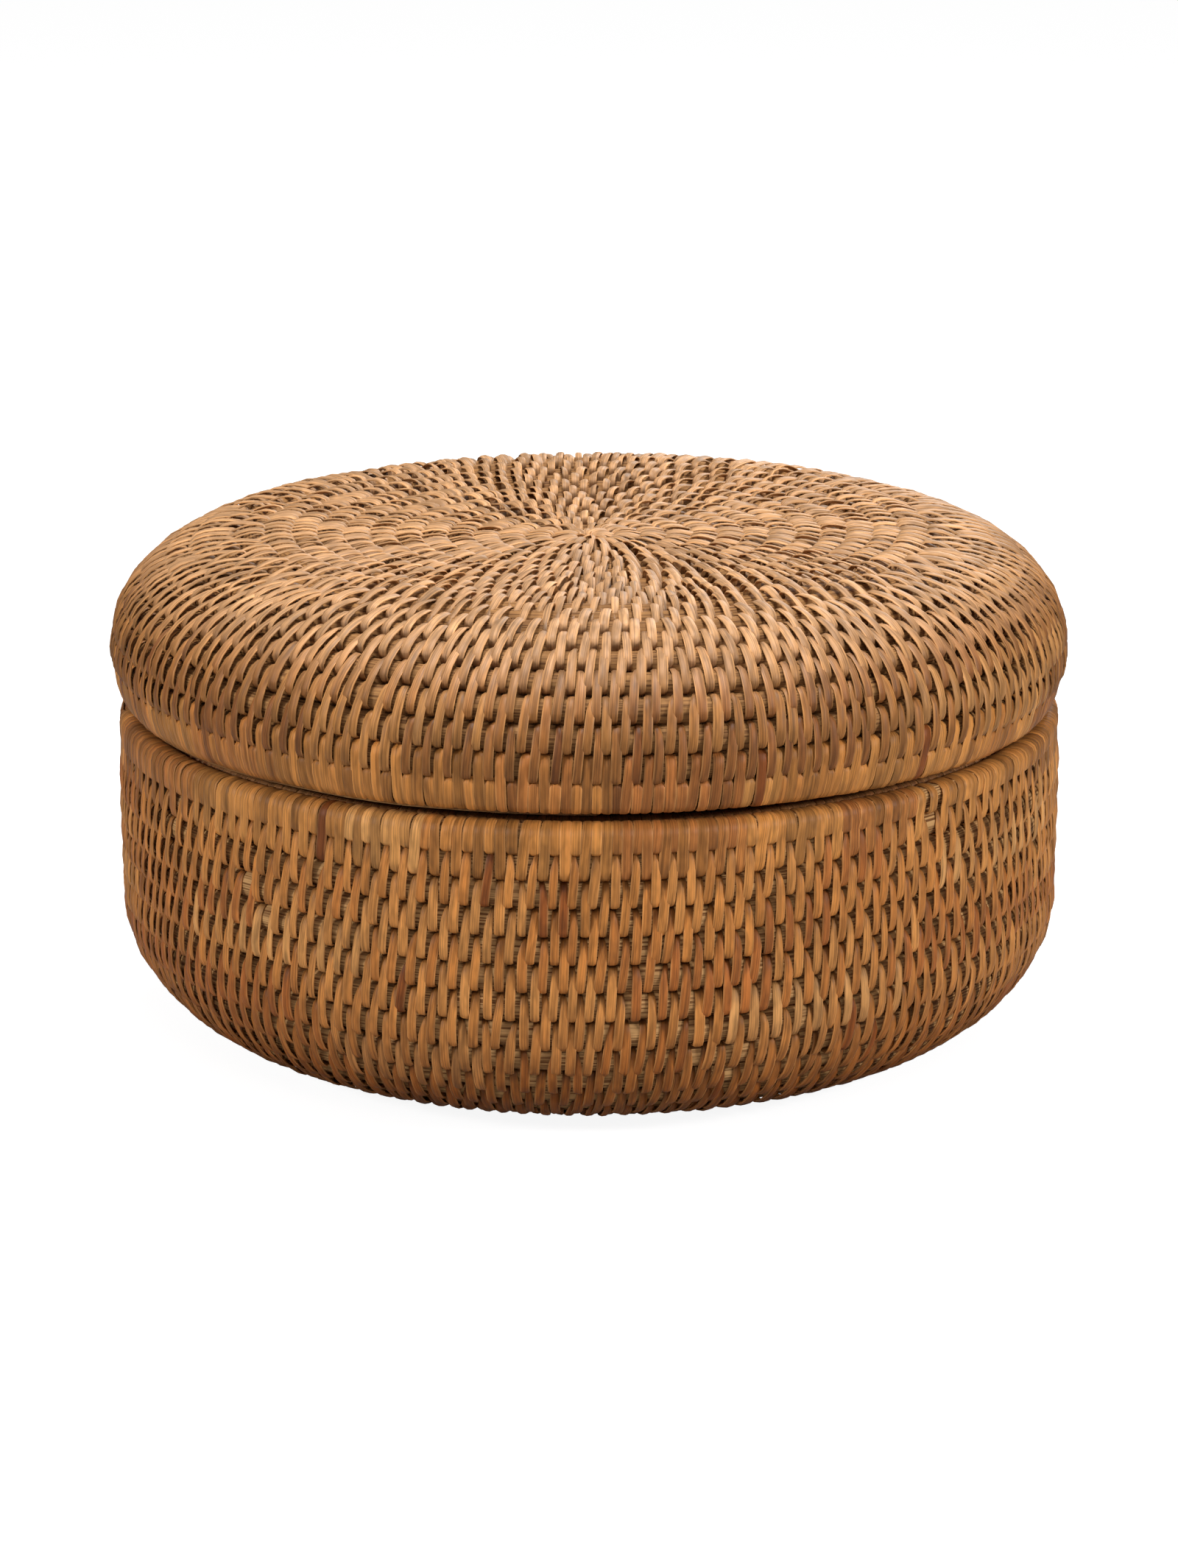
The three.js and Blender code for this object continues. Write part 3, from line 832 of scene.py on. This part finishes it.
def makeSection(name, halfHigh, halfDeep, power):
    mesh = bpy.data.meshes.new(name)
    points = superellipse(halfHigh, halfDeep, power, caneShape["sides"])
    count = len(points)
    mesh.from_pydata([(*point, 0) for point in points], [(i, (i + 1) % count) for i in range(count)], [])
    return addObject(name, mesh)


halfRow = {coil["name"]: coil["rowPitch"] * caneShape["heightShare"] for coil in (bodyCoil, lidCoil)}
sections = {
    "body": makeSection("bodySection", halfRow["body"], caneShape["halfDepth"], caneShape["power"]),
    "lid": makeSection("lidSection", halfRow["lid"], caneShape["halfDepth"], caneShape["power"]),
    "lidTop": makeSection("lidTopSection", halfRow["lid"], caneShape["topHalfDepth"], caneShape["power"]),
    "hoop": makeSection("hoopSection", hoopHeight / 2 - 2 * halfStrip, hoopShape["width"] / 2 - 2 * halfStrip,
                        hoopShape["corners"]),
}


def makeCane(name, coil, section, start, end, body, node):
    gap = caneShape["spliceGap"] / 2 / float(radiusAt(coil, start))
    count = max(2, round((end - start) / turn * caneShape["stepsPerTurn"]))
    run = addLine(name + "Run", [(x, 0, 0) for x in np.linspace(start + gap, end - gap, count + 1)])
    values = {
        "Wall": coil["wall"], "Side": float(coil["side"]), "Section": section,
        "Material": coreMaterials[body], "Start Angle": coil["startAngle"],
        "Start Length": coil["startLength"], "Row Pitch": coil["rowPitch"],
        "Edge": coil["edge"] - coilShape["stripThickness"], "Unevenness": coilShape["unevenness"]}
    makePiece(name, run, caneOnWall, values, body, node)


stitchLook = {"Width Spread": 0.1, "Lean": 0.08, "Lean Spread": 0.06, "Roll Spread": 0.17,
              "Lift Spread": 0.14 * mm, "Seed": 3}
shoulderLook = {**stitchLook, "Roll Spread": 0.28}
topLook = {"Width Spread": 0.14, "Lean": 0.08, "Lean Spread": 0.08, "Roll Spread": 0.42,
           "Lift Spread": 0.2 * mm, "Seed": 3}  # the top's strips lie loosest, most of them on one edge
wrapLean = {"Width Spread": 0.08, "Lean": 0.05, "Lean Spread": 0.06, "Roll Spread": 0.1,
            "Lift Spread": 0.14 * mm, "Seed": 11}
looserStrips = {
    "lid_top_cane_inner": topLook,
    "lid_top_cane_outer": topLook,
    "lid_shoulder_cane_upper": shoulderLook,
}


def makeStrips(name, coil, columns, material, look, body, node):
    count = len(columns["angle"])
    mesh = bpy.data.meshes.new(name + "Points")
    mesh.vertices.add(count)
    for label, values in columns.items():
        values = np.broadcast_to(np.asarray(values, np.float32), count)
        mesh.attributes.new(label, "FLOAT", "POINT").data.foreach_set("value", np.ascontiguousarray(values))
    values = {
        "Wall": coil["wall"], "Side": float(coil["side"]), "Strips": stripKinds, "Material": material,
        "Unevenness": coilShape["unevenness"], "Map Columns": float(math.ceil(math.sqrt(count))), **look}
    makePiece(name, addObject(name + "Points", mesh), stripsOnWall, values, body, node)


variantShares = (0.25, 0.35, 0.25, 0.15)  # how common each variant is
squareShares = (0.7, 0.2, 0.07, 0.03)
topRadius = (108 * mm, 122 * mm)  # inside it the lid has top stitches, outside it wall stitches
squareRadius = 136 * mm  # and inside this, most of the lid's stitches have two square ends
middleFit = {
    "freeLength": 1 * mm,  # about what the stitches leave free at a coil's middle
    "stitchRows": 1.49,  # rows that a whole stitch reaches inwards; near the middle it is cut shorter
    "leastReach": 0.3,
    "fullWidthRadius": 14 * mm,  # inside it the stitches narrow
    "leastWidth": 0.55,
}
wrapWidth = 1.18  # of a strip's width, so that the rim's wraps close up


# What places the stitches of one cane, outside the wall and again inside it
def stitchColumns(coil, wound, tones, random):
    along = lengthAt(coil, wound)
    radius = radiusAt(coil, wound)
    scale = coil["rowPitch"] / bodyShape["rowPitch"]
    needed = middleFit["stitchRows"] * coil["rowPitch"]
    reach = np.clip((along - middleFit["freeLength"]) / needed, middleFit["leastReach"], 1)
    onTop = (coil is lidCoil) & (radius < random.uniform(*topRadius, len(wound)))
    wallKind = kindNumber["lidStitch0" if coil is lidCoil else "bodyStitch0"]
    variants = [random.choice(len(stitchVariants), len(wound), p=shares)
                for shares in (squareShares, variantShares)]
    columns = {
        "kind": np.where(onTop, kindNumber["topStitch0"], wallKind)
        + np.where((coil is lidCoil) & (radius < squareRadius), *variants),
        "angle": coil["startAngle"] + wound,
        "along": along,
        "up": np.full_like(wound, scale),
        "down": reach * scale,
        "wide": np.clip(radius / middleFit["fullWidthRadius"], middleFit["leastWidth"], 1),
        "tone": tones,
    }
    columns = {label: np.concatenate((values, values)) for label, values in columns.items()}
    columns["face"] = np.repeat((1, -1), len(wound))
    return columns


# What places the rim's wraps, which stand on the groove under the last row
def wrapColumns(coil, wound, tones):
    groove = lengthAt(coil, wound) - coil["rowPitch"] / 2
    unit = bodyShape["rowPitch"]
    return {
        "kind": np.where(np.arange(len(wound)) % 2, kindNumber["wrapShort"], kindNumber["wrapLong"]),
        "angle": coil["startAngle"] + wound,
        "along": groove,
        "up": (coil["edge"] - halfStrip - groove) / unit,
        "down": coil["rowPitch"] / unit,
        "wide": wrapWidth,
        "tone": tones,
        "face": 1,
    }


# Dark stitches that stand out on the front, as degrees round the basket and distance
# along the wall from its middle
marks = {
    "basket": ((-101, 211 * mm), (-96.5, 223 * mm), (-94.1, 200 * mm), (-91.6, 200 * mm)),
    "lid": (),
}


def markedStitches(coil, wound, body):
    marked = []
    for degrees, along in marks[body]:
        turned = (coil["startAngle"] + wound - math.radians(degrees) + math.pi) % turn - math.pi
        away = np.hypot(turned * radiusAt(coil, wound), lengthAt(coil, wound) - along)
        marked.append(int(np.argmin(away)))
    return marked


def buildCoil(coil, body, canes, material, rimCane, rimWrap):
    random = np.random.default_rng(sewing["seed"] + len(canes))
    wound = sewnPlaces(coil)
    wound += random.normal(0, sewing["jitter"], len(wound)) / radiusAt(coil, wound)
    tones = strandTones(len(wound), random)
    tones[markedStitches(coil, wound, body)] = 0
    ends = splices(coil, len(canes))
    for (node, slot), start, end in zip(canes.items(), ends, ends[1:]):
        own = (wound >= start) & (wound < end)
        look = looserStrips.get(node, stitchLook)
        section = sections["lidTop" if look is topLook else coil["name"]]
        makeCane(node + "_core", coil, section, start, end, body, node)
        columns = stitchColumns(coil, wound[own], tones[own], random)
        makeStrips(node + "_strips", coil, columns, material, look, body, node)
    tail = coil["edge"] - coilShape["stripThickness"] - caneShape["tailHeight"] + halfRow[coil["name"]]
    tailEnd = (tail - coil["startLength"]) / coil["rowPitch"] * turn
    makeCane(rimCane + "_core", coil, sections[coil["name"]], ends[-1], tailEnd, body,
             rimCane)
    rim = wound[wound >= ends[-1]]
    between = np.append((rim[1:] + rim[:-1]) / 2, (rim[-1] + rim[0] + turn) / 2)
    wraps = np.ravel(np.column_stack((rim, between)))
    makeStrips(rimWrap + "_strips", coil, wrapColumns(coil, wraps, strandTones(len(wraps), random)),
               wrapMaterial, wrapLean, body, rimWrap)
    print(coil["name"], "coil built with", len(wound), "stitches a side")


bodyCanes = {node: "bound_wall_rattan" for node in (
    "base_cane_inner", "base_cane_outer", "bend_cane_lower", "bend_cane_middle", "bend_cane_upper",
    "wall_cane_lower", "wall_cane_middle", "wall_cane_upper")}
lidCanes = {
    "lid_top_cane_inner": "bound_top_rattan",
    "lid_top_cane_outer": "bound_top_rattan",
    "lid_shoulder_cane_upper": "bound_top_rattan",
    "lid_shoulder_cane_middle": "bound_top_rattan",
    "lid_shoulder_cane_lower": "bound_wall_rattan",
    "lid_side_cane": "bound_wall_rattan",
}
buildCoil(bodyCoil, "basket", bodyCanes, bodyMaterial, "rim_cane", "rim_wrapping")
buildCoil(lidCoil, "lid", lidCanes, lidMaterial, "lid_rim_cane", "lid_rim_wrapping")


# A hoop of the collar: a bent cane, wrapped all round
def buildHoop(node, outerRadius):
    low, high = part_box(node)[0].z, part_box(node)[1].z
    radius = outerRadius - hoopShape["width"] / 2
    hoop = {
        "name": node,
        "side": 1,
        "line": np.array([(radius, low), (radius, high)]),
        "lengths": np.array([0, high - low]),
        "edge": 1.0,  # nothing to clip
        "rowPitch": 0.0,
        "startLength": (high - low) / 2,
        "startAngle": coilShape["joinAngle"],
        "wall": addLine(node + "Wall", [(radius, 0, low), (radius, 0, high)]),
    }
    makeCane(node + "_core", hoop, sections["hoop"], 0, turn, "basket", node)
    count = round(turn * outerRadius / hoopShape["wrapPitch"])
    random = np.random.default_rng(sewing["seed"] + count)
    columns = {
        "kind": kindNumber["hoopWrap"],
        "angle": np.arange(count) * turn / count,
        "along": hoop["startLength"],
        "up": 1,
        "down": 1,
        "wide": 1,
        "tone": strandTones(count, random),
        "face": 1,
    }
    makeStrips(node + "_strips", hoop, columns, hoopMaterial, wrapLean, "basket", node)
    bpy.data.objects.remove(hoop["wall"])


wallInside = bodyShape["radius"] - coilShape["wallThickness"]
buildHoop("collar_hoop_lower", wallInside - hoopShape["fitGap"])
buildHoop("collar_hoop_upper", wallInside - lidShape["setBack"] - hoopShape["lidPlay"])
for helper in (bodyCoil["wall"], lidCoil["wall"], *sections.values(), *stripKinds.objects):
    bpy.data.objects.remove(helper)
bpy.data.collections.remove(stripKinds)
print("collar built")


# Camera, floor and light

view = {
    "place": (0, -1441.9 * mm, 488.2 * mm),
    "down": math.radians(16),
    "lens": 107.95,
    "clip": (0.05, 50),
}
cameraData = bpy.data.cameras.new("camera")
cameraData.lens = view["lens"]
cameraData.clip_start, cameraData.clip_end = view["clip"]
camera = bpy.data.objects.new("camera", cameraData)
camera.location = view["place"]
camera.rotation_euler = (math.pi / 2 - view["down"], 0, 0)
bpy.context.scene.collection.objects.link(camera)
bpy.context.scene.camera = camera

room = {
    "floorSize": 12.0,
    "floorGrey": 0.32,
    "floorGlow": 0.9,  # seen by the camera alone, so that the floor is white and its bounce low
    "skyLevel": 0.21,
}
lamps = {  # those at the sides bring out the strips' relief
    "key": {"place": (0, -0.15, 1.6), "size": 0.5, "power": 22.5},
    "front": {"place": (0.2, -1.45, 0.95), "size": 0.5, "power": 2.5},
    "right": {"place": (1.15, -0.85, 0.7), "size": 0.3, "power": 10.5},
    "left": {"place": (-1.15, -0.85, 0.7), "size": 0.3, "power": 8.5},
    "back": {"place": (0.4, 1.3, 0.8), "size": 0.5, "power": 5.5},
}


def makeFloor():
    half = room["floorSize"] / 2
    corners = [(-half, -half, 0), (half, -half, 0), (half, half, 0), (-half, half, 0)]
    mesh = bpy.data.meshes.new("floor")
    mesh.from_pydata(corners, [], [(0, 1, 2, 3)])
    material, tree = newMaterial("paintedFloor")
    grey = room["floorGrey"]
    matt = addNode(tree, "ShaderNodeBsdfDiffuse", {"Color": (grey, grey, grey, 1)})
    path = addNode(tree, "ShaderNodeLightPath").outputs
    seen = addMath(tree, "MULTIPLY", path["Is Camera Ray"], room["floorGlow"])
    glow = addNode(tree, "ShaderNodeEmission", {"Strength": seen})
    both = addNode(tree, "ShaderNodeAddShader", {0: matt, 1: glow})
    addNode(tree, "ShaderNodeOutputMaterial", {"Surface": both})
    mesh.materials.append(material)
    addObject("floor", mesh)


def makeSky():
    world = bpy.data.worlds.new("studio")
    world.use_nodes = True
    tree = world.node_tree
    tree.nodes.clear()
    path = addNode(tree, "ShaderNodeLightPath").outputs
    level = addNode(tree, "ShaderNodeMapRange", {"Value": path["Is Camera Ray"], 3: room["skyLevel"], 4: 1.0})
    light = addNode(tree, "ShaderNodeBackground", {"Color": (1, 1, 1, 1), "Strength": level})
    addNode(tree, "ShaderNodeOutputWorld", {"Surface": light})
    bpy.context.scene.world = world


def makeLamp(name, settings):
    data = bpy.data.lights.new(name, "AREA")
    data.shape = "DISK"
    data.size = settings["size"]
    data.energy = settings["power"]
    lamp = bpy.data.objects.new(name, data)
    lamp.location = settings["place"]
    aim = np.array((0, 0, crestHeight / 2)) - np.array(settings["place"])
    lamp.rotation_euler = (math.acos(-aim[2] / np.linalg.norm(aim)), 0, math.atan2(-aim[0], aim[1]))
    bpy.context.scene.collection.objects.link(lamp)


makeFloor()
makeSky()
for lampName, lampSettings in lamps.items():
    makeLamp(lampName, lampSettings)
bpy.context.scene.view_settings.view_transform = "Standard"
print("stage set")
